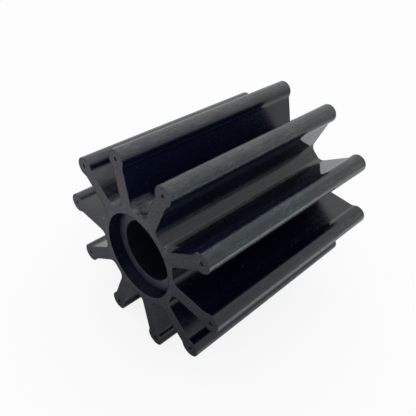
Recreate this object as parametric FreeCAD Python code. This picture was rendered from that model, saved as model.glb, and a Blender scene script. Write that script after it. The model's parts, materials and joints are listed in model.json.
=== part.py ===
import FreeCAD, Part

import math
import os

# Rubber pump impeller, in millimetres.
# A moulded rubber body, a hub sleeve with straight radial vanes that end in round beads,
# is bonded over a rigid drive bush that takes the pump's shaft and its key.
# The shaft axis is Y, the front end faces -Y, and the origin lies on the axis at mid length.
# The part lies on its side as it comes to rest, with +Z up and two vane tips on the ground.

# Rubber body
BODY_LENGTH = 100.0
VANE_COUNT = 10
VANE_TIP_RADIUS = 47.5
WEB_THICKNESS = 6.4
BEAD_PROUD = 1.15
NECK_FILLET_RADIUS = 3.0
ROOT_FILLET_RADIUS = 3.5
HUB_WALL = 3.1

# Drive bush
SHAFT_BORE_RADIUS = 14.0
BUSH_WALL = 5.5
BUSH_RECESS = 5.2
BUSH_BEVEL_WIDTH = 2.4
BUSH_BEVEL_HEIGHT = 0.6
BOND_CLEARANCE = 0.0

# Keyway in the bush, facing a gap between two vanes, counted from +Z towards +X
KEYWAY_WIDTH = 8.0
KEYWAY_DEPTH = 3.3
KEYWAY_GAP = 1

# Moulding pin marks in the front ends of the vanes
PIN_MARK_RADIUS = 0.85
PIN_MARK_DEPTH = 0.5
PIN_MARK_OFFSET = 0.45

# Sizes that follow from the ones above
PITCH = 2 * math.pi / VANE_COUNT
HALF_GAP = PITCH / 2
HALF_WEB = WEB_THICKNESS / 2
BEAD_RADIUS = HALF_WEB + BEAD_PROUD
BEAD_CENTRE_RADIUS = VANE_TIP_RADIUS - BEAD_RADIUS
BUSH_RADIUS = SHAFT_BORE_RADIUS + BUSH_WALL
BUSH_SEAT_RADIUS = BUSH_RADIUS + BOND_CLEARANCE
HUB_RADIUS = BUSH_SEAT_RADIUS + HUB_WALL
FRONT_Y = -BODY_LENGTH / 2
BUSH_LENGTH = BODY_LENGTH - 2 * BUSH_RECESS

# Share of the gap between two webs that their root fillets may fill
ROOT_FILLET_SHARE = 0.9

AXIS = FreeCAD.Vector(0, 1, 0)
ORIGIN = FreeCAD.Vector(0, 0, 0)
FULL_TURN = 360


def vane_angle(index):
    """Angle of one vane from +Z towards +X: two neighbours straddle -Z, so the part rests on them."""
    return HALF_GAP + index * PITCH


def section_point(side, radius, angle, y=FRONT_Y):
    """Point of a cross-section, out along a direction and to one side of it."""
    x = radius * math.sin(angle) + side * math.cos(angle)
    z = radius * math.cos(angle) - side * math.sin(angle)
    return FreeCAD.Vector(x, y, z)


def polar(centre, radius, turn):
    """Point on a circle in a vane's own plane, turned from the vane's outward direction."""
    side, height = centre
    return side + radius * math.sin(turn), height + radius * math.cos(turn)


def root_fillet_radius():
    """Root fillet, limited so that the fillets of two neighbours leave some hub between them."""
    room = HUB_RADIUS * math.sin(HALF_GAP) - HALF_WEB
    widest = room / (1 - math.sin(HALF_GAP))
    return min(ROOT_FILLET_RADIUS, ROOT_FILLET_SHARE * widest)


def vane_flank():
    """Right side of a vane from its bead to the hub: neck fillet, web and root fillet.

    Each stretch is a list of (side, radius) points: two for a line, three for an arc.
    """
    bead = (0.0, BEAD_CENTRE_RADIUS)
    reach = BEAD_RADIUS + NECK_FILLET_RADIUS
    neck_side = HALF_WEB + NECK_FILLET_RADIUS
    neck_drop = math.sqrt(reach ** 2 - neck_side ** 2)
    neck = (neck_side, BEAD_CENTRE_RADIUS - neck_drop)
    touch = math.pi - math.atan2(neck_side, neck_drop)
    neck_turn = touch - math.pi
    web_top = (HALF_WEB, neck[1])

    root_radius = root_fillet_radius()
    root_side = HALF_WEB + root_radius
    root = (root_side, math.sqrt((HUB_RADIUS + root_radius) ** 2 - root_side ** 2))
    web_foot = (HALF_WEB, root[1])
    hub_turn = math.atan2(root[0], root[1])
    on_hub = polar((0.0, 0.0), HUB_RADIUS, hub_turn)
    root_turn = hub_turn - math.pi

    neck_arc = [
        polar(bead, BEAD_RADIUS, touch),
        polar(neck, NECK_FILLET_RADIUS, (neck_turn - math.pi / 2) / 2),
        web_top,
    ]
    root_arc = [
        web_foot,
        polar(root, root_radius, (root_turn - math.pi / 2) / 2),
        on_hub,
    ]
    return [neck_arc, [web_top, web_foot], root_arc]


def edge_through(points):
    """Line through two points, or arc through three."""
    if len(points) == 2:
        return Part.LineSegment(*points).toShape()
    return Part.Arc(*points).toShape()


def body_outline():
    """Closed outline of the vanes and the hub between them, at the front end."""
    flank = vane_flank()
    neck_side, neck_radius = flank[0][0]
    foot_side, foot_radius = flank[-1][-1]
    edges = []
    for index in range(VANE_COUNT):
        angle = vane_angle(index)
        following = vane_angle(index + 1)
        for stretch in reversed(flank):
            left = [section_point(-side, radius, angle) for side, radius in reversed(stretch)]
            edges.append(edge_through(left))
        bead_arc = [
            section_point(-neck_side, neck_radius, angle),
            section_point(0.0, VANE_TIP_RADIUS, angle),
            section_point(neck_side, neck_radius, angle),
        ]
        edges.append(edge_through(bead_arc))
        for stretch in flank:
            right = [section_point(side, radius, angle) for side, radius in stretch]
            edges.append(edge_through(right))
        hub_arc = [
            section_point(foot_side, foot_radius, angle),
            section_point(0.0, HUB_RADIUS, angle + HALF_GAP),
            section_point(-foot_side, foot_radius, following),
        ]
        edges.append(edge_through(hub_arc))
    return Part.Wire(edges)


def pin_marks():
    """Shallow round marks in the front end of each bead."""
    circle = BEAD_CENTRE_RADIUS + PIN_MARK_OFFSET
    marks = []
    for index in range(VANE_COUNT):
        centre = section_point(0.0, circle, vane_angle(index))
        marks.append(Part.makeCylinder(PIN_MARK_RADIUS, PIN_MARK_DEPTH, centre, AXIS))
    return marks


def rubber_body():
    """Hub sleeve and vanes in one moulding, open right through for the bush."""
    solid = Part.Face(body_outline()).extrude(AXIS * BODY_LENGTH)
    front = FreeCAD.Vector(0, FRONT_Y, 0)
    seat = Part.makeCylinder(BUSH_SEAT_RADIUS, BODY_LENGTH, front, AXIS)
    return solid.cut([seat] + pin_marks()).Solids[0]


def keyway():
    """Slot along the bore, facing the gap between two vanes."""
    reach = SHAFT_BORE_RADIUS + KEYWAY_DEPTH
    corner = FreeCAD.Vector(-KEYWAY_WIDTH / 2, -BUSH_LENGTH / 2, 0)
    slot = Part.makeBox(KEYWAY_WIDTH, BUSH_LENGTH, reach, corner)
    slot.rotate(ORIGIN, AXIS, math.degrees(KEYWAY_GAP * PITCH))
    return slot


def drive_bush():
    """Bush with bevelled ends, turned as one profile, then slotted for the key."""
    end = BUSH_LENGTH / 2
    shoulder = BUSH_RADIUS - BUSH_BEVEL_WIDTH
    half = [
        (SHAFT_BORE_RADIUS, end),
        (shoulder, end),
        (BUSH_RADIUS, end - BUSH_BEVEL_HEIGHT),
    ]
    corners = half + [(radius, -y) for radius, y in reversed(half)]
    points = [FreeCAD.Vector(radius, y, 0) for radius, y in corners]
    profile = Part.Face(Part.makePolygon(points + points[:1]))
    turned = profile.revolve(ORIGIN, AXIS, FULL_TURN)
    return turned.cut(keyway()).Solids[0]


os.makedirs("parts", exist_ok=True)
rubber_body().exportStep("parts/rubber_body.step")
drive_bush().exportStep("parts/drive_bush.step")
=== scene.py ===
import json
import math

import bmesh
import bpy
import numpy as np
from bpy.props import FloatProperty, FloatVectorProperty, IntProperty, PointerProperty
from mathutils import Euler, Matrix, Vector


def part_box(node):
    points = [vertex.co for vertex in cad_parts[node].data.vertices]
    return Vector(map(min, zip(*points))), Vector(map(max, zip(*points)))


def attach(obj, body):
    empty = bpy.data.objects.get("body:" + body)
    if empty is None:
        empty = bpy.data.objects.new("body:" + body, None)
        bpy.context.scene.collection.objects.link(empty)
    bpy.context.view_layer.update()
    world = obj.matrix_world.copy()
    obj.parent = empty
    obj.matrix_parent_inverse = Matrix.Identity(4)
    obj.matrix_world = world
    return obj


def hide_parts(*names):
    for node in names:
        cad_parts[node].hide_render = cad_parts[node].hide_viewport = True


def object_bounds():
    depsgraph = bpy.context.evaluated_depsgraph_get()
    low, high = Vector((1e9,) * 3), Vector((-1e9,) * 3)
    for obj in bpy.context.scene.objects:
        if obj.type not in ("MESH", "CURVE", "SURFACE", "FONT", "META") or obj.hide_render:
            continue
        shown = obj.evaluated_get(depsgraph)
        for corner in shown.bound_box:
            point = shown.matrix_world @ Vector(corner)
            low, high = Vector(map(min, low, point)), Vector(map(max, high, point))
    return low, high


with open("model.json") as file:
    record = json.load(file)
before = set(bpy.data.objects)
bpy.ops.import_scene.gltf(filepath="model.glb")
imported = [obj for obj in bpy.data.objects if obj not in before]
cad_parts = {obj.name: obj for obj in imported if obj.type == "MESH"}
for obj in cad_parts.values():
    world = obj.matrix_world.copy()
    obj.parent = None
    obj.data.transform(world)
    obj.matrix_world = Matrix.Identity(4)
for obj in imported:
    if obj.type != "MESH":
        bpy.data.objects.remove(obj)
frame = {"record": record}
CAD_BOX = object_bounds()

# A rubber pump impeller: a moulded body of ten straight vanes with round beads along their
# tips, bonded over a rigid drive bush. Lengths are in metres. The shaft axis is Y, the front
# end faces -Y and the part lies on two vane tips, with +Z up.

bl_info = {
    "name": "Rubber pump impeller",
    "version": (1, 0, 0),
    "blender": (4, 5, 0),
    "location": "3D View > Sidebar > Impeller",
    "description": "Dresses a moulded rubber pump impeller and its drive bush, and sets its stage",
    "category": "Add Mesh",
}

MM = 0.001
BODY_LOW, BODY_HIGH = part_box("rubber_body")
BUSH_LOW, BUSH_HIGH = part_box("drive_bush")
BORE = next(mount for mount in frame["record"]["mounts"] if mount["kind"] == "bore")

TIP_RADIUS = BODY_HIGH.x
HALF_LENGTH = BODY_HIGH.y
SEAT_RADIUS = BUSH_HIGH.x
HALF_BUSH = BUSH_HIGH.y
BORE_RADIUS = BORE["dims"]["r_mm"] * MM
FLOOR_HEIGHT = CAD_BOX[0].z

WELD_DISTANCE = 1e-6
TINY = 1e-9
GLOSS_IOR = 1.5
WHITE = (1, 1, 1, 1)

# Numbers of the materials on each piece
SIDE_FINISH = 0
END_FINISH = 1
BEAD_FINISH = 2
BORE_FINISH = 1

# Steps, rows and columns of the surfaces
CORNER_STEPS = 3
BODY_ROWS = 46
END_FACE_STEPS = 6
PIN_STEPS = 6
BUSH_COLUMNS = 240
BUSH_ROWS = 40
MOUTH_STEPS = 4
FLAT_SHARES = (0.05, 0.35, 0.65, 0.95, 1)
BEVEL_STEPS = 8

# Turns from a corner of the keyway to the columns beside it, and from those to the even ones
CORNER_GAP = 0.004
CORNER_CLEAR = 0.012

# Cosine of the turn from the keyway's middle, below which the bore has no keyway
KEYWAY_REACH = 0.5

# Powers that shape a lean, and the rim and the bottom of a pin mark
LEAN_POWER = 1.5
PIN_RIM_POWER = 0.55
PIN_BOTTOM_POWER = 0.8

# Steepness of the dent, and its two waves: height, closeness and start
DENT_STEEPNESS = 1.2
WAVE_HEIGHT = 0.5
WAVES_ACROSS = 5
WAVES_BACK = 4
WAVE_START = 1

# Direction across the shaft in which the ends and the upper faces grow paler: painted light falling from the
# upper left, laid on together with dust
UPPER_LEFT = (-0.6, 0, 0.8)

# Nicks in the dent, dark bare rubber that also paints the shade of its hollow, dust on the rim and at two
# vanes' feet, and pale chips and grains, as in the photograph: middle and radius in millimetres
DENT_NICKS_AND_SHADE = (
    ((-2.4, -46.9, 21.9), 1.5),
    ((-0.7, -45.4, 21.1), 1.9),
    ((0.1, -47.2, 21.9), 1.4),
)
RIM_DUST = (((-3.0, -50.0, 21.5), 13.0),)
FOOT_DUST = (
    ((18.4, -47.8, 17.5), 3.6),
    ((-4.3, -44.6, 24.3), 6.0),
)
PALE_CHIPS = (
    ((15.5, -48.6, 16.9), 0.45),
    ((16.8, -49.7, 16.6), 0.40),
    ((32.4, -49.9, 28.9), 0.55),
    ((29.0, -44.0, 25.0), 0.30),
    ((-25.9, -50.0, 3.2), 0.40),
    ((14.5, -46.0, 34.3), 0.32),
    ((13.1, -46.9, 30.0), 0.25),
    ((11.9, -46.4, 26.3), 0.22),
    ((13.2, -45.5, 30.3), 0.22),
    ((27.8, -2.8, 24.2), 0.32),
    ((30.2, -38.1, 26.4), 0.35),
    ((33.9, -38.2, -20.7), 0.40),
)

# Shares of a spot's and of a speck's radius inside which they are full
SPOT_CORE = 0.66
SPECK_CORE = 0.5

# Specks of dust: cells per metre, the number past which a cell has one, and its size in cells
SIDE_SPECKS = ((420, 0.955, 0.085), (1100, 0.94, 0.14))
END_SPECKS = ((900, 0.97, 0.14),)
CHOICE_SOFTNESS = 0.005

# Noises: cells per metre, detail, and how far they are drawn out along each axis
RAGGED_NOISE = (1500, 3)
GRAIN = (3600, 2)
SIDE_NOISES = {
    "patch": (40, 3, (1, 0.5, 1)),
    "cloud": (130, 4, (1, 0.5, 1)),
    "streak": (800, 4, (1, 0.045, 1)),
    "stroke": (1300, 5, (1, 0.25, 1)),
    "scratch": (2300, 3, (1, 0.03, 1)),
    "grain": GRAIN,
}
END_NOISES = {"mottle": (1100, 5), "cloud": (220, 4)}
BORE_STREAKS = (700, 3, (1, 0.06, 1))
RING_CLOUD = (200, 4)
RING_GRAIN = (2400, 2)
FLOOR_CLOUD = (6, 2)

# How far a ragged edge wanders, in metres
RAGGED_REACH = (0.0012, 0.0012, 0.0012)

# Limits of bloom, dust, film, painted light and gloss. Each says what is measured, the two ends of its fade
# and the shares there, 0 and 1 if none are given. The limits of one thing multiply each other.
FALLING = (1, 0)
PAST_SEAT = ("radius", (0.0203, 0.0212))
CROWN = (("radius", (0.0433, 0.0462)),)
HUB_SKIN = (("radius", (0.0236, 0.0275), FALLING), PAST_SEAT)
UPPER_VANES = (("height", (0.005, 0.030)),)
IN_MOUTH = (("radius", (0.0200, 0.0203), FALLING),)
# Paler where the seat faces up: settled dust, and a painted highlight along the seat's bottom
MOUTH_DUST_AND_HIGHLIGHT = (*IN_MOUTH, ("facing up", (0.70, 1.0), (0, 0.15)))
BLOOM_LINES = (
    ("streak", (0.3, 0.68)),
    ("stroke", (0.36, 0.64)),
    ("cloud", (0.25, 0.65), (0.5, 1.2)),
)
SCRATCHES = (("scratch", (0.64, 0.72), (0, 0.4)),)
HUB_PATCHES = (("patch", (0.35, 0.65), (0.15, 0.60)),)
# Bloom that grows upwards and towards the rear: real bloom, made paler up high and behind as painted light
BLOOM_AND_TOP_REAR_LIGHT = (("lifted", (-0.030, 0.030), (0.12, 1)), ("height", (0.030, 0.044), (1, 0.72)))
OLIVE_BLOOM = (("rearward", (0.65, 1.15)),)
# Painted highlight: a pale band and a pale line along the lower edges of the right-facing crowns
RIGHT_CROWN_HIGHLIGHT = (
    ("facing right", (0.88, 0.94)),
    ("facing up", (0.05, 0.15)),
    ("facing up", (0.30, 0.38), FALLING),
)
HIGHLIGHT_BLOOM = (*RIGHT_CROWN_HIGHLIGHT, ("along", (0.0, 0.035), (0.9, 0.2)))
HIGHLIGHT_LINE = (
    *RIGHT_CROWN_HIGHLIGHT,
    ("radius", (0.0462, 0.0466)),
    ("facing up", (0.22, 0.33), FALLING),
    ("stroke", (0.3, 0.65), (0.3, 0.7)),
)
# Pale patches in the upper root fillets: dust, and painted light that stands in for the light reaching there
FILLET_DUST_AND_LIGHT = (
    ("radius", (0.0226, 0.0230)),
    ("radius", (0.0243, 0.0256), FALLING),
    ("facing right", (0.50, 0.68)),
    ("facing up", (0.0, 0.3)),
    ("cloud", (0.25, 0.65), (0.22, 0.50)),
    ("height", (0.010, 0.016)),
)
LEDGE_DUST = (
    ("facing up", (0.86, 0.95)),
    ("facing right", (-0.24, -0.08)),
    ("radius", (0.0236, 0.0243), FALLING),
    ("across", (0.0120, 0.0135)),
    ("patch", (0.35, 0.65), (0.7, 1.0)),
)
SMEARED = (("stroke", (0.3, 0.7), (0.5, 1.1)), ("cloud", (0.3, 0.6), (0.6, 1.1)))
# Pale layer on faces that look up towards the upper left: dust, and painted light falling from there
FILM_AND_LIGHT = (
    ("upper left", (0.010, 0.020)),
    ("facing up", (0.45, 0.80)),
    PAST_SEAT,
    *SMEARED,
)
WEB_FILM_AND_LIGHT = (("radius", (0.0240, 0.0280), (1, 0.18)), ("crown", (0, 1), (1, 0.5)))
OUTER_FILM_AND_LIGHT = (("radius", (0.028, 0.040), (0.18, 0.42)),)
FOOT_FILM = (("stroke", (0.35, 0.6), (0.5, 1)), ("radius", (0.0252, 0.0275), FALLING))
# Painted sheen: a pale band in the root fillet low on the right
CORNER_SHEEN = (
    ("across", (0.018, 0.023)),
    ("height", (0.0015, 0.0030)),
    ("height", (0.0045, 0.0062), (0.9, 0)),
    ("facing up", (0.55, 0.85)),
    ("radius", (0.0262, 0.0285), FALLING),
    ("along", (-0.042, -0.012)),
    *SMEARED,
)
UPRIGHT = (("facing up", (0.1, 0.25)), ("facing up", (0.4, 0.6), (0.5, 0)))
HANDLED = (("facing right", (-0.25, -0.10)), ("facing up", (0.12, 0.28)))
END_TONE = (
    ("radius", (0.0228, 0.0245), (1.22, 1)),
    ("mottle", (0.33, 0.67), (0.5, 1.4)),
    ("cloud", (0.3, 0.7), (0.85, 1.15)),
)
PIT = (("depth", (0.0001, 0.0003)), ("depth", (0.00040, 0.00047), (1, 0.15)))
# Ring colour on the bush's ends: the bore's colour at the bore edge, painted shade towards the outer edge,
# and the bore's colour deep down
BUSH_RING_AND_EDGE_SHADE = (
    ("radius", (0.01405, 0.0145)),
    ("radius", (0.0170, 0.0195), (1, 0.4)),
    ("depth", (0.0013, 0.0016), FALLING),
)

# Ends of single fades
# Reach of the painted light and dust across the ends, along the upper-left direction
END_LIGHT_AND_DUST_REACH = (-0.055, 0.055)
TURN_TO_END = (0.1, 0.6)
MIDDLE_NOISE = (0.3, 0.7)
PALER_NOISE = (0.35, 0.7)
STROKE_NOISE = (0.35, 0.65)

# Weights of what is added up, and shares of what is multiplied
BARE_BLOOM = 0.3
ALONG_LIFT = 0.35
ALONG_OLIVE = 14
HEIGHT_OLIVE = 12
RIM_DUST_SHARE = 0.3
CORNER_SHARE = 0.6
HANDLED_SHARE = 0.65
PALER_BORE = 1.8
FLOOR_TONE = 0.985
FLOOR_ROUGHNESS = 0.9

# How far a noise spreads each roughness, down and up
SIDE_SPREAD = (-0.03, 0.05)
END_SPREAD = (-0.04, 0.06)
BORE_SPREAD = (-0.04, 0.05)
RING_SPREAD = (-0.03, 0.05)

# Fine relief: the weights of its noises, and the strength and the depth in metres of each bump
STREAK_RELIEF = 0.9
STROKE_RELIEF = 0.25
GRAIN_RELIEF = 0.06
END_GRAIN_RELIEF = 0.3
SIDE_BUMP = (0.6, 0.00008)
END_BUMP = (0.5, 0.00006)
RING_BUMP = (0.25, 0.00003)

# Half the floor's side, the last bright bounce, and the camera's sensor and reach
FLOOR_HALF = 3.0
SECOND_BOUNCE = 1.5
SENSOR_WIDTH = 36
NEAREST_SEEN = 0.005
FURTHEST_SEEN = 20


def length_property(name, description, millimetres):
    """Property for a length, given in millimetres and kept in metres."""
    return FloatProperty(name=name, description=description, default=millimetres * MM, unit="LENGTH")


def share_property(name, description, default):
    """Property for a share of one."""
    return FloatProperty(name=name, description=description, default=default, subtype="FACTOR")


def angle_property(name, description, degrees):
    """Property for an angle, given in degrees."""
    return FloatProperty(name=name, description=description, default=math.radians(degrees), subtype="ANGLE")


def place_property(name, description, default):
    """Property for a place in metres."""
    return FloatVectorProperty(name=name, description=description, default=default, subtype="TRANSLATION")


def colour_property(name, description, default, brightest=1):
    """Property for a colour."""
    return FloatVectorProperty(
        name=name, description=description, default=default, subtype="COLOR", min=0, max=brightest
    )


class BodySizes(bpy.types.PropertyGroup):
    """Sizes of the rubber body that its box does not give"""

    vane_count: IntProperty(name="Vanes", description="Number of vanes round the hub", default=10, min=4)
    web_thickness: length_property("Web", "Thickness of a vane below its bead", 6.4)
    bead_proud: length_property("Bead proud", "How far a bead stands out from its web", 1.15)
    neck_fillet: length_property("Neck fillet", "Hollow radius under a bead", 3.0)
    root_fillet: length_property("Root fillet", "Hollow radius where a vane meets the hub", 3.5)
    hub_wall: length_property("Hub wall", "Rubber between the bush and the gaps", 3.1)
    edge_round: length_property("Edge round", "Soft corner round both ends of the moulding", 0.16)
    pin_radius: length_property("Pin mark", "Radius of a pin mark", 0.85)
    pin_depth: length_property("Pin depth", "Depth of a pin mark", 0.5)
    pin_offset: length_property("Pin offset", "Pin mark beyond the bead's centre", 0.45)
    vane_lean: FloatVectorProperty(
        name="Lean", description="How far each vane leans clockwise at its front tip", size=10, unit="LENGTH",
        default=[lean * MM for lean in (0.0, 0.15, -0.15, -0.55, -0.8, -0.5, -0.5, -0.2, -1.1, -0.5)],
    )
    rear_lean: share_property("Rear lean", "Share of the lean that is left at the rear", 0.4)
    dent_place: place_property("Dent", "Middle of the dent in the hub's rim", (-0.0008, -0.0453, 0.0226))
    dent_size: FloatVectorProperty(
        name="Dent size", description="Half width and half length of the dent", size=2, unit="LENGTH",
        default=(2.6 * MM, 2.0 * MM),
    )
    dent_depth: length_property("Dent depth", "Depth of the dent", 1.9)


class BushSizes(bpy.types.PropertyGroup):
    """Sizes of the drive bush that its box and its bore do not give"""

    bevel_width: length_property("Bevel width", "Rounded bevel across an end", 2.4)
    bevel_height: length_property("Bevel height", "Rounded bevel along the bush", 0.6)
    edge_round: length_property("Edge round", "Soft corner at the bore's mouth", 0.25)
    keyway_width: length_property("Keyway width", "Width of the key's slot", 8.0)
    keyway_depth: length_property("Keyway depth", "Depth of the slot past the bore", 3.3)
    keyway_turn: angle_property("Keyway turn", "Place of the slot, from +Z towards +X", 36)


class RubberLook(bpy.types.PropertyGroup):
    """Colours and gloss of the rubber"""

    flank: colour_property("Flank", "Glossy moulded rubber", (0.0006, 0.0018, 0.0075))
    # Upper flank: paler and bluer on the upper vanes as painted light from above, with faint dust; the bush's
    # seat takes it too
    upper_flank: colour_property("Upper flank", "The same, faintly dusty, higher up", (0.0026, 0.005, 0.016))
    bloom: colour_property("Bloom", "Bluish bloom on the beads, towards the front", (0.035, 0.056, 0.055))
    olive_bloom: colour_property("Olive bloom", "Browner bloom, towards the rear", (0.060, 0.064, 0.049))
    # Fillet colour: dust, and painted light in the upper root fillets
    fillet_dust_and_light: colour_property("Fillet dust", "Dust in the upper root fillets", (0.062, 0.068, 0.063))
    # Pale layer: dust, and painted light on faces that look up at the upper left
    film_and_light: colour_property("Film", "Settled dust on faces that look up", (0.094, 0.103, 0.105))
    # Ends: a painted gradient of light and shade from the upper left to the lower right, partly dust
    lit_dusty_end: colour_property("Dusty end", "Matt rubber of the ends, dusty", (0.062, 0.0615, 0.073))
    shaded_clean_end: colour_property("Clean end", "Matt rubber of the ends, lower down", (0.0005, 0.0035, 0.0085))
    dust: colour_property("Dust", "Specks of dust and pale chips", (0.20, 0.21, 0.21))
    flank_roughness: share_property("Flank roughness", "Roughness of the flanks", 0.09)
    bloom_roughness: share_property("Bloom roughness", "Roughness of the beads and of dusty faces", 0.28)
    end_roughness: share_property("End roughness", "Roughness of the end faces", 0.42)
    end_gloss: share_property("End gloss", "Specular level of the end faces", 0.08)
    side_gloss: share_property("Side gloss", "Specular level of the flanks and the hub", 0.43)
    bead_gloss: share_property("Bead gloss", "Specular level of the beads", 0.38)


class BushLook(bpy.types.PropertyGroup):
    """Colours and gloss of the bush"""

    bore: colour_property("Bore", "Dark filled plastic in the bore", (0.0022, 0.0032, 0.0070))
    ring: colour_property("Ring", "Paler plastic of both ends", (0.0175, 0.0210, 0.0385))
    worn: colour_property("Worn", "Rubbed patches of the ends", (0.0265, 0.0305, 0.0505))
    bore_roughness: share_property("Bore roughness", "Roughness of the bore", 0.68)
    bore_gloss: share_property("Bore gloss", "Specular level of the bore", 0.1)
    ring_roughness: share_property("Ring roughness", "Roughness of the ends", 0.42)
    ring_gloss: share_property("Ring gloss", "Specular level of the ends", 0.36)


class StageLook(bpy.types.PropertyGroup):
    """Floor, lamps and camera"""

    floor: colour_property("Floor", "Plain pale floor", (0.92, 0.92, 0.92))
    floor_glow: share_property("Floor glow", "Plain white in what the camera sees of the floor", 0.86)
    gloss_glow: share_property("Gloss glow", "Plain white in what a gloss shows of the floor", 0.04)
    repeated_gloss: share_property("Repeated gloss", "Plain white in gloss seen in another gloss", 0.25)
    room: colour_property("Room", "Soft light from all round", (0.85, 0.85, 0.86), brightest=2)
    softbox_place: place_property("Softbox", "Place of the softbox", (-0.25, 0.35, 1.0))
    softbox_size: length_property("Softbox size", "Side of the softbox", 1400)
    softbox_power: FloatProperty(name="Softbox power", description="Softbox's power in watts", default=2.1)
    camera_place: place_property("Camera", "Place of the camera", (0.11224, -0.14, 0.15247))
    camera_azimuth: angle_property("Azimuth", "Camera's turn round the part", 40.72)
    camera_elevation: angle_property("Elevation", "How far the camera looks down", 40.56)
    camera_roll: angle_property("Roll", "Camera's turn about its own view", 7.82)
    camera_lens: FloatProperty(name="Lens", description="Focal length in millimetres", default=43.31)


def circle_points(centre, radius, turns):
    """Points (side, height) of a circle: its centre plus its radius times the turn's sine and cosine."""
    side = centre[0] + radius * np.sin(turns)
    height = centre[1] + radius * np.cos(turns)
    return np.stack(np.broadcast_arrays(side, height), axis=-1)


def line_points(start, end, shares):
    """Points on a straight line: the start plus a share of the way to the end."""
    start, end = np.asarray(start)[..., None, :], np.asarray(end)[..., None, :]
    return start + (end - start) * shares[:, None]


class VaneOutline:
    """Right half of one vane's outline, from its tip to the middle of the gap beside it.

    Five stretches follow each other: bead arc, neck fillet, web line, root fillet and hub arc.
    Moved inwards by an inset, each arc keeps its centre and changes only its radius.
    """

    STEPS = {"bead": 20, "neck": 7, "web": 6, "root": 8, "hub": 8}

    def __init__(self, sizes):
        self.half_gap = math.pi / sizes.vane_count
        self.half_web = sizes.web_thickness / 2
        self.neck_radius = sizes.neck_fillet
        self.root_radius = sizes.root_fillet
        self.hub_radius = SEAT_RADIUS + sizes.hub_wall
        self.bead_radius = self.half_web + sizes.bead_proud
        self.bead_height = TIP_RADIUS - self.bead_radius

        neck_side = self.half_web + self.neck_radius
        neck_drop = math.sqrt((self.bead_radius + self.neck_radius) ** 2 - neck_side ** 2)
        self.neck_centre = (neck_side, self.bead_height - neck_drop)
        self.bead_turn = math.pi - math.atan2(neck_side, neck_drop)

        root_side = self.half_web + self.root_radius
        root_height = math.sqrt((self.hub_radius + self.root_radius) ** 2 - root_side ** 2)
        self.root_centre = (root_side, root_height)
        self.hub_turn = math.atan2(root_side, root_height)

    def spread(self, start, end, stretch):
        """Turns along one stretch, without its last one, which starts the next stretch."""
        return np.linspace(start, end, self.STEPS[stretch], endpoint=False)

    def points(self, inset):
        """Outline points for each inset, as an array of insets by points by (side, height)."""
        inset = np.atleast_1d(inset)[:, None]
        quarter = -math.pi / 2
        bead = circle_points(
            (0, self.bead_height), self.bead_radius - inset, self.spread(0, self.bead_turn, "bead")
        )
        neck = circle_points(
            self.neck_centre, self.neck_radius + inset, self.spread(self.bead_turn - math.pi, quarter, "neck")
        )
        side = self.half_web - inset
        top = np.concatenate([side, np.full_like(side, self.neck_centre[1])], axis=-1)
        foot = np.concatenate([side, np.full_like(side, self.root_centre[1])], axis=-1)
        web = line_points(top, foot, self.spread(0, 1, "web"))
        root = circle_points(
            self.root_centre, self.root_radius + inset, self.spread(quarter, self.hub_turn - math.pi, "root")
        )
        hub_turns = np.linspace(self.hub_turn, self.half_gap, self.STEPS["hub"] + 1)
        hub = circle_points((0, 0), self.hub_radius - inset, hub_turns)
        return np.concatenate([bead, neck, web, root, hub], axis=1)

    def spine(self, pin_height, pin_radius, seat_radius):
        """Line that faces the outline across an end face, point for point.

        It runs round the pin mark, down the vane's middle and out along the bush's seat.
        """
        round_pin = circle_points((0, pin_height), pin_radius, self.spread(0, math.pi, "bead"))
        pin_foot = pin_height - pin_radius
        neck = line_points((0, pin_foot), (0, self.neck_centre[1]), self.spread(0, 1, "neck"))
        web = line_points((0, self.neck_centre[1]), (0, seat_radius), self.spread(0, 1, "web"))
        steps = self.STEPS["root"] + self.STEPS["hub"] + 1
        seat = circle_points((0, 0), seat_radius, np.linspace(0, self.half_gap, steps))
        return np.concatenate([round_pin, neck, web, seat])


def mirrored(points):
    """The same points on the other side of the vane's middle."""
    return points * np.array([-1, 1])


def placed_round(points, lengthwise, angles):
    """Turns points (side, height) to each angle about Y, and adds their place along Y."""
    side, height = points[..., 0], points[..., 1]
    turned = []
    for angle in angles:
        x = side * math.cos(angle) + height * math.sin(angle)
        z = height * math.cos(angle) - side * math.sin(angle)
        turned.append(np.stack(np.broadcast_arrays(x, lengthwise, z), axis=-1))
    return np.stack(turned)


def grid_faces(rows, columns, wrap=False, flip=False):
    """Four-cornered faces between the points of a grid, wrapped round its columns if asked."""
    index = np.arange(rows * columns).reshape(rows, columns)
    if wrap:
        index = np.concatenate([index, index[:, :1]], axis=1)
    corners = [index[:-1, :-1], index[:-1, 1:], index[1:, 1:], index[1:, :-1]]
    faces = np.stack(corners, axis=-1).reshape(-1, 4)
    return faces[:, ::-1] if flip else faces


def add_object(name, data):
    """Adds an object to the scene."""
    added = bpy.data.objects.new(name, data)
    bpy.context.scene.collection.objects.link(added)
    return added


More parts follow.
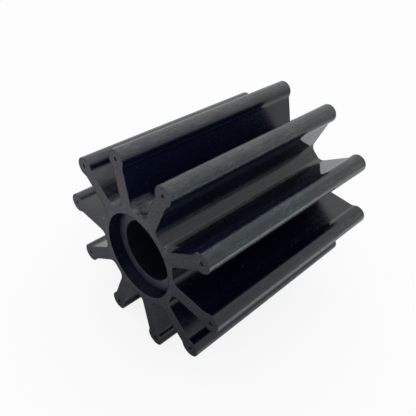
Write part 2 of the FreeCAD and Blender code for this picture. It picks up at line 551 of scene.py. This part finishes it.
class Surface:
    """Collects grids of points, and makes one mesh of them."""

    def __init__(self):
        self.points = []
        self.faces = []
        self.finishes = []
        self.count = 0

    def add(self, points, wrap=False, flip=False, finish=0):
        """Adds one grid of points, an array of rows by columns by (x, y, z), and its finish.

        The finish is the number of a material, or an array of one number for each column of faces.
        """
        rows, columns = points.shape[:2]
        faces = grid_faces(rows, columns, wrap, flip) + self.count
        self.points.append(points.reshape(-1, 3))
        self.faces.append(faces)
        face_columns = columns if wrap else columns - 1
        self.finishes.append(np.broadcast_to(finish, (rows - 1, face_columns)).ravel())
        self.count += rows * columns

    def build(self, name, materials, bend=None):
        """Joins the grids along their common edges, and bends the points if a function is given."""
        points = np.concatenate(self.points)
        if bend is not None:
            points = bend(points)
        mesh = bpy.data.meshes.new(name)
        mesh.from_pydata(points.tolist(), [], np.concatenate(self.faces).tolist())
        mesh.polygons.foreach_set("material_index", np.concatenate(self.finishes))
        welded = bmesh.new()
        welded.from_mesh(mesh)
        bmesh.ops.remove_doubles(welded, verts=welded.verts, dist=WELD_DISTANCE)
        welded.to_mesh(mesh)
        welded.free()
        mesh.polygons.foreach_set("use_smooth", np.ones(len(mesh.polygons), dtype=bool))
        mesh.update()
        for material in materials:
            mesh.materials.append(material)
        return add_object(name, mesh)


def rounded_ends(half_length, radius, steps, rows):
    """Places along Y and insets of a path that starts and ends with a quarter circle.

    Between them the rows lie closer together near both ends, by the sine of an even turn.
    """
    turn = np.linspace(0, math.pi / 2, steps + 1)
    start = -half_length + radius * (1 - np.cos(turn))
    inset = radius * (1 - np.sin(turn))
    middle = np.sin(np.linspace(-math.pi / 2, math.pi / 2, rows + 1)[1:-1]) * -start[-1]
    lengthwise = np.concatenate([start, middle, -start[::-1]])
    insets = np.concatenate([inset, np.zeros(rows - 1), inset[::-1]])
    return lengthwise, insets


def pin_profile(sizes, steps):
    """Radius and depth down a pin mark: a soft rim, a wall and a slightly domed bottom."""
    share = np.linspace(0, 1, steps + 1)
    radius = sizes.pin_radius * np.cos(share * math.pi / 2) ** PIN_RIM_POWER
    depth = sizes.pin_depth * np.sin(share * math.pi / 2) ** PIN_BOTTOM_POWER
    return radius, depth


def used_shape(points, sizes):
    """Leans each vane and presses in the dent of a used impeller.

    A lean grows with the height above the hub to the power of 1.5, and fades towards the rear.
    The dent is a bell curve across and along the hub's rim, broken up by two waves. Nothing
    sinks below the floor, which flattens the bead that would.
    """
    pitch = 2 * math.pi / sizes.vane_count
    hub_radius = SEAT_RADIUS + sizes.hub_wall
    x, y, z = points.T
    index = np.floor(np.arctan2(x, z) / pitch).astype(int) % sizes.vane_count
    angle = (index + 0.5) * pitch
    height = x * np.sin(angle) + z * np.cos(angle)
    share = np.clip((height - hub_radius) / (TIP_RADIUS - hub_radius), 0, 1) ** LEAN_POWER
    along = 1 - (1 - sizes.rear_lean) * (y + HALF_LENGTH) / (2 * HALF_LENGTH)
    lean = np.resize(sizes.vane_lean, sizes.vane_count)[index] * share * along

    middle, (half_width, half_length) = sizes.dent_place, sizes.dent_size
    across, back = (x - middle[0]) / half_width, (y - middle[1]) / half_length
    waves = np.sin(WAVES_ACROSS * across) * np.cos(WAVES_BACK * back + WAVE_START)
    bell = np.exp(-(across ** 2 + back ** 2) * DENT_STEEPNESS) * (1 + WAVE_HEIGHT * waves)
    near_hub = np.clip((np.hypot(x, z) - SEAT_RADIUS) / sizes.hub_wall, 0, 1) * (z > 0)
    dent = sizes.dent_depth * bell * near_hub

    bent_x = x + lean * np.cos(angle)
    bent_z = z - lean * np.sin(angle) - dent
    return np.stack([bent_x, y + dent / 2, np.maximum(bent_z, FLOOR_HEIGHT)], axis=-1)


def build_body(sizes, materials):
    """Rubber body: its outline carried along Y, two end faces, ten pin marks and the bush's seat.

    The rear end has flat discs where the front end has its marks.
    """
    outline = VaneOutline(sizes)
    pitch = 2 * outline.half_gap
    angles = [outline.half_gap + index * pitch for index in range(sizes.vane_count)]
    surface = Surface()

    lengthwise, insets = rounded_ends(HALF_LENGTH, sizes.edge_round, CORNER_STEPS, BODY_ROWS)
    right = outline.points(insets)
    left = mirrored(right)[:, ::-1]
    vane = np.concatenate([left[:, :-1], right[:, :-1]], axis=1)
    loops = placed_round(vane, lengthwise[:, None], angles)
    around = np.concatenate(list(loops), axis=1)
    columns = np.arange(vane.shape[1]) + 0.5
    on_bead = np.abs(columns - vane.shape[1] / 2) < outline.STEPS["bead"]
    finish = np.where(on_bead, BEAD_FINISH, SIDE_FINISH)
    surface.add(around, wrap=True, finish=np.tile(finish, sizes.vane_count))

    pin_height = outline.bead_height + sizes.pin_offset
    seat_edge = SEAT_RADIUS + sizes.edge_round
    rim = outline.points(sizes.edge_round)[0]
    spine = outline.spine(pin_height, sizes.pin_radius, seat_edge)
    across = np.linspace(0, 1, END_FACE_STEPS + 1)[:, None, None]
    face = rim + (spine - rim) * across
    for end in (-HALF_LENGTH, HALF_LENGTH):
        front = end < 0
        for half, flip in ((face, not front), (mirrored(face), front)):
            for grid in placed_round(half, end, angles):
                surface.add(grid, flip=flip, finish=END_FINISH)

    radius, depth = pin_profile(sizes, PIN_STEPS)
    half_turn = outline.spread(0, math.pi, "bead")
    turns = np.concatenate([half_turn, half_turn + math.pi])
    mark = circle_points((0, pin_height), radius[:, None], turns)
    for grid in placed_round(mark, (depth - HALF_LENGTH)[:, None], angles):
        surface.add(grid, wrap=True, flip=True, finish=END_FINISH)
    for grid in placed_round(mark, np.full((len(depth), 1), HALF_LENGTH), angles):
        surface.add(grid, wrap=True, finish=END_FINISH)

    steps = outline.STEPS["root"] + outline.STEPS["hub"]
    seat_turns = np.linspace(0, 2 * math.pi, 2 * steps * sizes.vane_count, endpoint=False) + outline.half_gap
    seat = circle_points((0, 0), (SEAT_RADIUS + insets)[:, None], seat_turns)
    surface.add(placed_round(seat, lengthwise[:, None], [0.0])[0], wrap=True, flip=True)
    return surface.build("moulded_body", materials, lambda points: used_shape(points, sizes))


def bore_edge(turns, sizes):
    """Bore's radius at each turn: the circle, and the keyway's floor and walls where they lie further out.

    At a turn from the keyway's middle, its floor is at the floor's height over the turn's cosine,
    and its wall at half its width over the turn's sine.
    """
    turn = turns - sizes.keyway_turn
    facing = np.cos(turn) > KEYWAY_REACH
    floor = (BORE_RADIUS + sizes.keyway_depth) / np.where(facing, np.cos(turn), 1)
    wall = sizes.keyway_width / 2 / np.maximum(np.abs(np.sin(turn)), TINY)
    return np.where(facing, np.maximum(BORE_RADIUS, np.minimum(floor, wall)), BORE_RADIUS)


def bush_turns(sizes, count):
    """Even turns round the bush, with three close together at each corner of the keyway."""
    half_width = sizes.keyway_width / 2
    floor_corner = math.atan2(half_width, BORE_RADIUS + sizes.keyway_depth)
    mouth_corner = math.asin(half_width / BORE_RADIUS)
    corners = np.array([-mouth_corner, -floor_corner, floor_corner, mouth_corner]) + sizes.keyway_turn
    near_corners = (corners[:, None] + np.array([-CORNER_GAP, 0, CORNER_GAP])).ravel()
    even = np.linspace(0, 2 * math.pi, count, endpoint=False)
    apart = np.abs(even[:, None] - near_corners).min(axis=1) > CORNER_CLEAR
    return np.sort(np.concatenate([even[apart], near_corners]))


def build_bush(sizes, materials):
    """Drive bush: a ring whose bore edge follows the keyway, with rounded bevels at both ends.

    From the bore outwards a point lies on the flat end, and past the shoulder on a quarter
    ellipse that falls by the bevel's height over the bevel's width.
    """
    turns = bush_turns(sizes, BUSH_COLUMNS)
    edge = bore_edge(turns, sizes)[None, :]
    shoulder = SEAT_RADIUS - sizes.bevel_width
    rounding = np.linspace(math.pi / 2, 0, MOUTH_STEPS + 1)[:, None]
    mouth = edge + sizes.edge_round * (1 - np.sin(rounding))
    flat_start = edge + sizes.edge_round
    shoulder_start = np.maximum(shoulder, flat_start + sizes.edge_round)
    flat = flat_start + (shoulder_start - flat_start) * np.array(FLAT_SHARES)[:, None]
    bevel_share = np.sin(np.linspace(0, math.pi / 2, BEVEL_STEPS + 1))[1:, None]
    bevel = shoulder_start + (SEAT_RADIUS - shoulder_start) * bevel_share
    radius = np.concatenate([mouth, flat, bevel])

    past = np.clip((radius - shoulder) / sizes.bevel_width, 0, 1)
    place = HALF_BUSH - sizes.bevel_height * (1 - np.sqrt(1 - past ** 2))
    place[: len(mouth)] -= sizes.edge_round * (1 - np.cos(rounding))
    surface = Surface()
    ring = circle_points((0, 0), radius, turns)
    surface.add(placed_round(ring, -place, [0.0])[0], wrap=True, flip=True)
    surface.add(placed_round(ring, place, [0.0])[0], wrap=True)

    rows = np.sin(np.linspace(-math.pi / 2, math.pi / 2, BUSH_ROWS))[:, None]
    tubes = ((edge, place[:1], True), (np.full_like(edge, SEAT_RADIUS), place[-1:], False))
    for wall, reach, inward in tubes:
        tube = circle_points((0, 0), np.repeat(wall, len(rows), axis=0), turns)
        surface.add(placed_round(tube, rows * reach, [0.0])[0], wrap=True, flip=inward, finish=BORE_FINISH)
    return surface.build("bonded_bush", materials)


def add_node(tree, kind, feeds=None, **settings):
    """Adds a node, makes its settings, and feeds its sockets with values or other sockets."""
    node = tree.nodes.new(kind)
    for name, value in settings.items():
        setattr(node, name, value)
    for socket, source in (feeds or {}).items():
        if isinstance(source, bpy.types.NodeSocket):
            tree.links.new(source, node.inputs[socket])
        else:
            node.inputs[socket].default_value = source
    return node


def maths(tree, operation, first, second=0.0):
    """One sum on two values."""
    return add_node(tree, "ShaderNodeMath", {0: first, 1: second}, operation=operation).outputs[0]


def product(tree, first, *others):
    """Several values multiplied, so that each of them limits the others."""
    for other in others:
        first = maths(tree, "MULTIPLY", first, other)
    return first


def largest(tree, first, *others):
    """The largest of several values."""
    for other in others:
        first = maths(tree, "MAXIMUM", first, other)
    return first


def weighted_sum(tree, first, *terms):
    """A value, plus each further value times its weight."""
    for value, weight in terms:
        first = maths(tree, "ADD", first, maths(tree, "MULTIPLY", value, weight))
    return first


def vector_maths(tree, operation, first, second=(0, 0, 0)):
    """One sum on two vectors: its outputs are a Vector and a Value."""
    return add_node(tree, "ShaderNodeVectorMath", {0: first, 1: second}, operation=operation).outputs


def fade(tree, value, ends, results=(0, 1)):
    """Smooth step of a value: from its first end to its second, the first result turns into the second."""
    sockets = ("Value", "From Min", "From Max", "To Min", "To Max")
    feeds = dict(zip(sockets, (value, *ends, *results)))
    return add_node(tree, "ShaderNodeMapRange", feeds, interpolation_type="SMOOTHSTEP").outputs["Result"]


def limited(tree, fields, limits):
    """Share that the limits leave: one fade for each of them, multiplied."""
    return product(tree, *(fade(tree, fields[name], *ends) for name, *ends in limits))


def varied(tree, field, middle, spread):
    """A value that a noise spreads down and up from its middle."""
    low, high = spread
    return fade(tree, field, MIDDLE_NOISE, (middle + low, middle + high))


def noise(tree, place, scale, detail, stretch=(1, 1, 1)):
    """Noise on the piece's own coordinates, drawn out where a stretch is below one."""
    mapped = add_node(tree, "ShaderNodeMapping", {"Vector": place, "Scale": stretch}).outputs["Vector"]
    feeds = {"Vector": mapped, "Scale": scale, "Detail": detail}
    return add_node(tree, "ShaderNodeTexNoise", feeds).outputs["Fac"]


def noises(tree, place, kinds):
    """Several noises by their names."""
    return {name: noise(tree, place, *values) for name, values in kinds.items()}


def blend_colours(tree, share, first, second):
    """Colour between two, by a share."""
    node = add_node(tree, "ShaderNodeMix", {"Factor": share}, data_type="RGBA")
    for socket, source in ((node.inputs[6], first), (node.inputs[7], second)):
        if isinstance(source, bpy.types.NodeSocket):
            tree.links.new(source, socket)
        else:
            socket.default_value = (*source, 1)
    return node.outputs[2]


def layered(tree, colour, layers):
    """A colour with layers over it, each a share and a colour of its own."""
    for share, layer in layers:
        colour = blend_colours(tree, share, colour, layer)
    return colour


def new_material(name):
    """Material with one plain shader, and its node tree."""
    material = bpy.data.materials.new(name)
    material.use_nodes = True
    tree = material.node_tree
    return material, tree, tree.nodes["Principled BSDF"]


def own_place(tree):
    """Place on the piece, in its own coordinates."""
    return add_node(tree, "ShaderNodeTexCoord").outputs["Object"]


def set_surface(tree, shader, colour, roughness, gloss, relief=None):
    """Gives a shader its colour, its roughness, its specular level and a fine relief, if it has one.

    A relief is a height, and the strength and the depth of its bump.
    """
    feeds = {"Base Color": colour, "Roughness": roughness}
    if relief is not None:
        bump = dict(zip(("Height", "Strength", "Distance"), relief))
        feeds["Normal"] = add_node(tree, "ShaderNodeBump", bump).outputs[0]
    for socket, source in feeds.items():
        tree.links.new(source, shader.inputs[socket])
    shader.inputs["IOR"].default_value = GLOSS_IOR
    shader.inputs["Specular IOR Level"].default_value = gloss


def split(tree, vector):
    """The three parts of a vector."""
    return add_node(tree, "ShaderNodeSeparateXYZ", {0: vector}).outputs


def towards(tree, place, direction):
    """How far a place lies along a direction."""
    return vector_maths(tree, "DOT_PRODUCT", place, direction)["Value"]


def distance_from_axis(tree, place):
    """Distance of a place from the axis, which is the Y axis."""
    flat = vector_maths(tree, "MULTIPLY", place, (1, 0, 1))["Vector"]
    return vector_maths(tree, "LENGTH", flat)["Value"]


def depth_below_end(tree, place, half_length):
    """How far a place lies below the nearer end: the half length less the distance from mid length."""
    return maths(tree, "SUBTRACT", half_length, maths(tree, "ABSOLUTE", split(tree, place)["Y"]))


def shaken(tree, place):
    """Places pushed about by a fine noise, so that what is drawn on them has ragged edges."""
    scale, detail = RAGGED_NOISE
    wander = add_node(tree, "ShaderNodeTexNoise", {"Vector": place, "Scale": scale, "Detail": detail})
    centred = vector_maths(tree, "SUBTRACT", wander.outputs["Color"], (0.5, 0.5, 0.5))["Vector"]
    push = vector_maths(tree, "MULTIPLY", centred, RAGGED_REACH)["Vector"]
    return vector_maths(tree, "ADD", place, push)["Vector"]


def spots(tree, place, marks):
    """One inside any of a list of round spots, each a middle and a radius in millimetres."""
    rounds = []
    for middle, radius in marks:
        away = vector_maths(tree, "DISTANCE", place, tuple(value * MM for value in middle))["Value"]
        rounds.append(fade(tree, away, (SPOT_CORE * radius * MM, radius * MM), FALLING))
    return largest(tree, *rounds)


def dust_specks(tree, place, cells_per_metre, chosen, size):
    """Specks at the middles of a few cells: only cells whose own number is past the chosen one."""
    cells = add_node(tree, "ShaderNodeTexVoronoi", {"Vector": place, "Scale": cells_per_metre}).outputs
    number = add_node(tree, "ShaderNodeSeparateColor", {0: cells["Color"]}).outputs["Red"]
    near = fade(tree, cells["Distance"], (SPECK_CORE * size, size), FALLING)
    return product(tree, near, fade(tree, number, (chosen, chosen + CHOICE_SOFTNESS)))


def pale_specks(tree, place, ragged, specks):
    """Specks of dust, and the pale chips."""
    drawn = [dust_specks(tree, place, *speck) for speck in specks]
    return largest(tree, *drawn, spots(tree, ragged, PALE_CHIPS))


def end_colour(tree, place, look):
    """Mottled colour of the ends: paler towards the upper left as painted light and dust, darker towards the
    lower right as painted shade, dustier round the dent and on the hub.
    """
    fields = {"radius": distance_from_axis(tree, place), **noises(tree, place, END_NOISES)}
    # Painted light and shade: paler towards the upper left, darker towards the lower right
    lit_and_dusty = fade(tree, towards(tree, place, UPPER_LEFT), END_LIGHT_AND_DUST_REACH)
    lit_and_dusty = weighted_sum(tree, lit_and_dusty, (spots(tree, place, RIM_DUST), RIM_DUST_SHARE))
    share = product(tree, lit_and_dusty, limited(tree, fields, END_TONE))
    return blend_colours(tree, share, look.shaded_clean_end, look.lit_dusty_end)


def side_fields(tree):
    """What the sides of the rubber are coloured by: places, directions, noises and zones, by name.

    Lifted is the height plus a share of the place along the shaft. Rearward is the patchy noise
    plus the place along the shaft and the height, each times its weight.
    """
    source = add_node(tree, "ShaderNodeTexCoord").outputs
    place = source["Object"]
    fields = {"place": place, "ragged": shaken(tree, place), "radius": distance_from_axis(tree, place)}
    fields.update(zip(("across", "along", "height"), split(tree, place)))
    fields.update(zip(("facing right", "facing back", "facing up"), split(tree, source["Normal"])))
    fields.update(noises(tree, place, SIDE_NOISES))
    along, height = fields["along"], fields["height"]
    fields["upper left"] = towards(tree, place, UPPER_LEFT)
    fields["lifted"] = weighted_sum(tree, height, (along, ALONG_LIFT))
    fields["rearward"] = weighted_sum(tree, fields["patch"], (along, ALONG_OLIVE), (height, HEIGHT_OLIVE))
    fields["crown"] = limited(tree, fields, CROWN)
    fields["hub skin"] = limited(tree, fields, HUB_SKIN)
    return fields


def bloom_share(tree, fields):
    """Share of bloom: streaks and scratches, on the crowns and in patches on the hub.

    It grows upwards and towards the rear as painted light, and a painted highlight band along the right
    crowns adds to it.
    """
    lines = maths(tree, "ADD", limited(tree, fields, BLOOM_LINES), limited(tree, fields, SCRATCHES))
    lines = fade(tree, lines, (0, 1), (BARE_BLOOM, 1))
    on_hub = product(tree, fields["hub skin"], limited(tree, fields, HUB_PATCHES))
    # Painted light: more bloom higher up and towards the rear, and a painted highlight on the right crowns
    bloom_and_light = maths(tree, "ADD", limited(tree, fields, BLOOM_AND_TOP_REAR_LIGHT), limited(tree, fields, HIGHLIGHT_BLOOM))
    return product(tree, lines, largest(tree, fields["crown"], on_hub), bloom_and_light)


def film_and_light_share(tree, fields):
    """Share of the pale layer: dust and painted light on faces that look up at the upper left, and dust at
    two vanes' feet.
    """
    spread = largest(tree, limited(tree, fields, WEB_FILM_AND_LIGHT), limited(tree, fields, OUTER_FILM_AND_LIGHT))
    film_and_light = product(tree, limited(tree, fields, FILM_AND_LIGHT), spread)
    foot = product(tree, spots(tree, fields["ragged"], FOOT_DUST), limited(tree, fields, FOOT_FILM))
    return largest(tree, film_and_light, foot)


def side_colour(tree, fields, film_and_light, look):
    """Colour of the sides: bare rubber, paler on the upper vanes as painted light, and over it bloom, dust
    that is partly painted light, a painted sheen, painted highlight lines, nicks with painted shade, specks
    and ends.
    """
    place, ragged = fields["place"], fields["ragged"]
    # Painted light: the flanks of the upper vanes are paler than the lower ones; the seat takes the same
    # paler colour
    paler_flank_share = largest(tree, limited(tree, fields, UPPER_VANES), limited(tree, fields, IN_MOUTH))
    base_flank_colour = blend_colours(tree, paler_flank_share, look.flank, look.upper_flank)
    bloom = blend_colours(tree, limited(tree, fields, OLIVE_BLOOM), look.bloom, look.olive_bloom)
    in_fillet = largest(tree, limited(tree, fields, FILLET_DUST_AND_LIGHT), limited(tree, fields, LEDGE_DUST))
    # Painted sheen in a low root fillet
    in_corner = product(tree, limited(tree, fields, CORNER_SHEEN), CORNER_SHARE)
    near_end = fade(tree, maths(tree, "ABSOLUTE", fields["facing back"]), TURN_TO_END)
    layers = (
        (bloom_share(tree, fields), bloom),
        (in_fillet, look.fillet_dust_and_light),
        # Dust and a painted highlight at the bottom of the seat
        (limited(tree, fields, MOUTH_DUST_AND_HIGHLIGHT), look.lit_dusty_end),
        # Dust and painted light on faces that look up at the upper left
        (film_and_light, look.film_and_light),
        # Painted sheen in a low root fillet, and painted highlight lines on the right crowns, in the pale
        # dust colour
        (largest(tree, in_corner, limited(tree, fields, HIGHLIGHT_LINE)), look.dust),
        # Painted shade: the dent's nicks take the dark flank colour, darkening its hollow
        (spots(tree, ragged, DENT_NICKS_AND_SHADE), look.flank),
        (pale_specks(tree, place, ragged, SIDE_SPECKS), look.dust),
        (near_end, end_colour(tree, place, look)),
    )
    return layered(tree, base_flank_colour, layers)


def side_material(look, name, gloss):
    """Sides of the rubber: glossy flanks and hub, and a dull streaked bloom on the beads.

    Crowns, the pale layer of dust and painted light, and the hub are dull, and upright and handled faces
    partly so.
    The relief is dull times the streaks and strokes, plus a fine grain.
    """
    material, tree, shader = new_material(name)
    fields = side_fields(tree)
    film_and_light = film_and_light_share(tree, fields)
    dull = largest(tree, fields["crown"], film_and_light, fields["hub skin"])
    handled = product(tree, limited(tree, fields, HANDLED), HANDLED_SHARE)
    rough_share = largest(tree, dull, limited(tree, fields, UPRIGHT), handled)
    roughness = fade(tree, rough_share, (0, 1), (look.flank_roughness, look.bloom_roughness))
    roughness = maths(tree, "ADD", roughness, fade(tree, fields["stroke"], STROKE_NOISE, SIDE_SPREAD))
    drawn = product(tree, fields["streak"], STREAK_RELIEF)
    drawn = weighted_sum(tree, drawn, (fields["stroke"], STROKE_RELIEF))
    height = weighted_sum(tree, product(tree, drawn, dull), (fields["grain"], GRAIN_RELIEF))
    colour = side_colour(tree, fields, film_and_light, look)
    set_surface(tree, shader, colour, roughness, gloss, (height, *SIDE_BUMP))
    return material


def end_material(look):
    """Matt ends of the rubber: mottled, paler towards the upper left as painted light and dust, dark inside
    each pit.
    """
    material, tree, shader = new_material("matt_rubber_end")
    place = own_place(tree)
    drawn = noises(tree, place, END_NOISES)
    in_pit = limited(tree, {"depth": depth_below_end(tree, place, HALF_LENGTH)}, PIT)
    specks = pale_specks(tree, place, shaken(tree, place), END_SPECKS)
    layers = ((in_pit, look.flank), (specks, look.dust))
    colour = layered(tree, end_colour(tree, place, look), layers)
    roughness = varied(tree, drawn["cloud"], look.end_roughness, END_SPREAD)
    height = weighted_sum(tree, drawn["mottle"], (noise(tree, place, *GRAIN), END_GRAIN_RELIEF))
    set_surface(tree, shader, colour, roughness, look.end_gloss, (height, *END_BUMP))
    return material


def bore_material(look):
    """Matt wall of the bore and its keyway, nearly black and faintly streaked along the shaft."""
    material, tree, shader = new_material("bush_bore")
    streaks = noise(tree, own_place(tree), *BORE_STREAKS)
    paler = tuple(share * PALER_BORE for share in look.bore)
    colour = blend_colours(tree, fade(tree, streaks, PALER_NOISE), look.bore, paler)
    roughness = varied(tree, streaks, look.bore_roughness, BORE_SPREAD)
    set_surface(tree, shader, colour, roughness, look.bore_gloss)
    return material


def ring_material(look):
    """Dark filled plastic of the bush's ends, paler and bluish, with the bore's colour at the inner edge and
    painted shade darkening the outer edge.
    """
    material, tree, shader = new_material("bush_end")
    place = own_place(tree)
    fields = {"radius": distance_from_axis(tree, place), "depth": depth_below_end(tree, place, HALF_BUSH)}
    cloud = noise(tree, place, *RING_CLOUD)
    ring = blend_colours(tree, fade(tree, cloud, PALER_NOISE), look.ring, look.worn)
    # Painted shade: the ring darkens towards its outer edge where it meets the rubber
    colour = blend_colours(tree, limited(tree, fields, BUSH_RING_AND_EDGE_SHADE), look.bore, ring)
    roughness = varied(tree, cloud, look.ring_roughness, RING_SPREAD)
    relief = (noise(tree, place, *RING_GRAIN), *RING_BUMP)
    set_surface(tree, shader, colour, roughness, look.ring_gloss, relief)
    return material


def light_path(tree):
    """One for rays from the camera, and one for rays off a gloss or through glass."""
    path = add_node(tree, "ShaderNodeLightPath").outputs
    return path["Is Camera Ray"], largest(tree, path["Is Glossy Ray"], path["Is Transmission Ray"])


def mixed_shaders(tree, share, first, second):
    """Shader between two, by a share."""
    feeds = {0: share, 1: first.outputs[0], 2: second.outputs[0]}
    return add_node(tree, "ShaderNodeMixShader", feeds)


def floor_material(look):
    """Pale floor, lifted towards plain white where it is seen, so that only a soft shadow shows."""
    material, tree, shader = new_material("pale_floor")
    tone = tuple(share * FLOOR_TONE for share in look.floor)
    colour = blend_colours(tree, noise(tree, own_place(tree), *FLOOR_CLOUD), look.floor, tone)
    tree.links.new(colour, shader.inputs["Base Color"])
    shader.inputs["Roughness"].default_value = FLOOR_ROUGHNESS
    glow = add_node(tree, "ShaderNodeEmission", {"Color": WHITE, "Strength": 1.0})
    camera, gloss = light_path(tree)
    share = largest(tree, product(tree, camera, look.floor_glow), product(tree, gloss, look.gloss_glow))
    seen = mixed_shaders(tree, share, shader, glow)
    below = add_node(tree, "ShaderNodeNewGeometry").outputs["Backfacing"]
    one_sided = mixed_shaders(tree, below, seen, add_node(tree, "ShaderNodeBsdfTransparent"))
    tree.links.new(one_sided.outputs[0], tree.nodes["Material Output"].inputs["Surface"])
    return material


def build_floor(look):
    """Flat square floor at the height of the part's lowest point."""
    across, along = np.meshgrid([-FLOOR_HALF, FLOOR_HALF], [-FLOOR_HALF, FLOOR_HALF])
    surface = Surface()
    surface.add(np.stack([across, along, np.full_like(across, FLOOR_HEIGHT)], axis=-1))
    surface.build("floor", [floor_material(look)])


def light_room(look):
    """White surroundings for what is seen and for gloss, and an even light from all round.

    Gloss that is seen in another gloss gets less of it, so that the deep gaps stay dark.
    """
    world = bpy.data.worlds.new("studio")
    world.use_nodes = True
    tree = world.node_tree
    soft = add_node(tree, "ShaderNodeBackground", {"Color": (*look.room, 1), "Strength": 1.0})
    white = add_node(tree, "ShaderNodeBackground", {"Color": WHITE, "Strength": 1.0})
    dim = add_node(tree, "ShaderNodeBackground", {"Color": WHITE, "Strength": look.repeated_gloss})
    seen = mixed_shaders(tree, largest(tree, *light_path(tree)), soft, white)
    bounces = add_node(tree, "ShaderNodeLightPath").outputs["Glossy Depth"]
    deep = mixed_shaders(tree, maths(tree, "GREATER_THAN", bounces, SECOND_BOUNCE), seen, dim)
    tree.links.new(deep.outputs[0], tree.nodes["World Output"].inputs["Surface"])
    bpy.context.scene.world = world


def add_softbox(look):
    """Large square lamp, turned towards the part."""
    lamp = bpy.data.lights.new("softbox", "AREA")
    lamp.size = look.softbox_size
    lamp.energy = look.softbox_power
    turned = Vector(look.softbox_place).to_track_quat("Z", "Y").to_matrix().to_4x4()
    add_object("softbox", lamp).matrix_world = Matrix.Translation(look.softbox_place) @ turned


def set_camera(look):
    """Camera at the photograph's place: turned to its azimuth and elevation, then about its own view."""
    lens = bpy.data.cameras.new("camera")
    lens.sensor_width = SENSOR_WIDTH
    lens.lens = look.camera_lens
    lens.clip_start = NEAREST_SEEN
    lens.clip_end = FURTHEST_SEEN
    aimed = Euler((math.pi / 2 - look.camera_elevation, 0, look.camera_azimuth)).to_matrix()
    rolled = aimed @ Matrix.Rotation(look.camera_roll, 3, "Z")
    camera = add_object("camera", lens)
    camera.matrix_world = Matrix.Translation(look.camera_place) @ rolled.to_4x4()
    bpy.context.scene.camera = camera


class IMPELLER_OT_rubber_body(bpy.types.Operator):
    """Makes the moulded rubber body and its finish"""

    bl_idname = "impeller.rubber_body"
    bl_label = "Rubber body"

    def execute(self, context):
        look = context.scene.impeller_rubber
        materials = [
            side_material(look, "moulded_rubber", look.side_gloss),
            end_material(look),
            side_material(look, "bloomed_bead", look.bead_gloss),
        ]
        piece = build_body(context.scene.impeller_body, materials)
        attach(piece, "root")
        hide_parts("rubber_body")
        return {"FINISHED"}


class IMPELLER_OT_drive_bush(bpy.types.Operator):
    """Makes the bonded drive bush and its finish"""

    bl_idname = "impeller.drive_bush"
    bl_label = "Drive bush"

    def execute(self, context):
        look = context.scene.impeller_bush_look
        piece = build_bush(context.scene.impeller_bush, [ring_material(look), bore_material(look)])
        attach(piece, "root")
        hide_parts("drive_bush")
        return {"FINISHED"}


class IMPELLER_OT_stage(bpy.types.Operator):
    """Lays the floor, lights the room and sets the camera"""

    bl_idname = "impeller.stage"
    bl_label = "Stage"

    def execute(self, context):
        look = context.scene.impeller_stage
        build_floor(look)
        light_room(look)
        add_softbox(look)
        set_camera(look)
        context.scene.view_settings.view_transform = "Standard"
        return {"FINISHED"}


class IMPELLER_PT_panel(bpy.types.Panel):
    """Lists the steps that dress the impeller"""

    bl_label = "Impeller"
    bl_idname = "IMPELLER_PT_panel"
    bl_space_type = "VIEW_3D"
    bl_region_type = "UI"
    bl_category = "Impeller"

    def draw(self, context):
        for operator in OPERATORS:
            self.layout.operator(operator.bl_idname)


GROUPS = {
    "impeller_body": BodySizes,
    "impeller_bush": BushSizes,
    "impeller_rubber": RubberLook,
    "impeller_bush_look": BushLook,
    "impeller_stage": StageLook,
}
OPERATORS = [IMPELLER_OT_rubber_body, IMPELLER_OT_drive_bush, IMPELLER_OT_stage]


def register():
    """Registers the sizes and looks, the steps and the panel."""
    for name, group in GROUPS.items():
        bpy.utils.register_class(group)
        setattr(bpy.types.Scene, name, PointerProperty(type=group))
    for step in [*OPERATORS, IMPELLER_PT_panel]:
        bpy.utils.register_class(step)


def unregister():
    """Takes away what register added, in the opposite order."""
    for step in [IMPELLER_PT_panel, *reversed(OPERATORS)]:
        bpy.utils.unregister_class(step)
    for name, group in reversed(GROUPS.items()):
        delattr(bpy.types.Scene, name)
        bpy.utils.unregister_class(group)


def main():
    register()
    bpy.ops.impeller.rubber_body()
    bpy.ops.impeller.drive_bush()
    bpy.ops.impeller.stage()


if __name__ == "__main__":
    main()
